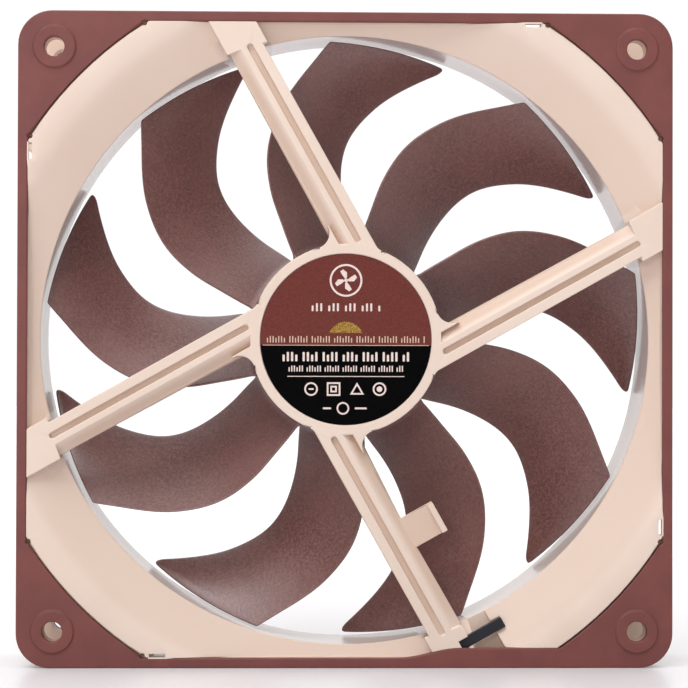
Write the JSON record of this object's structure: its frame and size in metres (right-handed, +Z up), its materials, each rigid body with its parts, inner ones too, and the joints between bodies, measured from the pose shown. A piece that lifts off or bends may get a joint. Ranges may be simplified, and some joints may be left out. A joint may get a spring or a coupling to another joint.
{
  "type": "case fan",
  "caption": "Square axial case fan with a sickle-bladed impeller, slanted struts, corner screw holes and silicone corner pads.",
  "frame": {"origin": "on the rotor's axis, at the centre of the rear screw-hole pattern, on the plane of the rear rings", "axes": "+Y along the rotor's axis from the rear (exhaust) face to the front (intake) face, +Z up with the fan standing on its lower edge, +X to the right seen from the rear"},
  "size_m": [0.14, 0.025, 0.14],
  "materials": {
    "beige_plastic": "satin",
    "brown_silicone": "matte",
    "black_plastic": "satin",
    "printed_label": "satin",
    "brass": "polished",
    "sintered_bronze": "matte",
    "seal_rubber": "matte",
    "white_plastic": "smooth",
    "magnet": "matte",
    "clip_steel": "satin",
    "core_steel": "laminated",
    "insulator_plastic": "matte",
    "copper": "enamelled",
    "pin_metal": "tinned",
    "board": "satin",
    "chip_plastic": "matte",
    "part_ceramic": "matte",
    "brown_plastic": "satin",
    "yoke_steel": "satin",
    "shaft_steel": "polished",
    "badge_foil": "satin"
  },
  "bodies": {
    "housing": {"frame": "beige_plastic", "rear_gasket": "brown_silicone", "front_corner_pads": "brown_silicone", "cable_clamp": "black_plastic", "hub_label": "printed_label", "bearing_shell": "brass", "bearing_sleeve": "sintered_bronze", "oil_seal_ring": "seal_rubber", "thrust_pad": "white_plastic", "stabilising_magnet": "magnet", "shaft_clip": "clip_steel", "stator_core": "core_steel", "rear_insulator": "insulator_plastic", "front_insulator": "insulator_plastic", "coils": "copper", "winding_pins": "pin_metal", "circuit_board": "board", "driver_chip": "chip_plastic", "hall_sensor": "chip_plastic", "board_parts": "part_ceramic"},
    "rotor": {"impeller": "brown_plastic", "rotor_yoke": "yoke_steel", "magnet_ring": "magnet", "hub_bushing": "brass", "shaft": "shaft_steel", "hub_badge": "badge_foil"}
  },
  "joints": [
    {"name": "rotor_spin", "type": "hinge", "parent": "housing", "child": "rotor", "pos_m": [0, 0, 0], "axis": [0, 1, 0], "continuous": true}
  ]
}
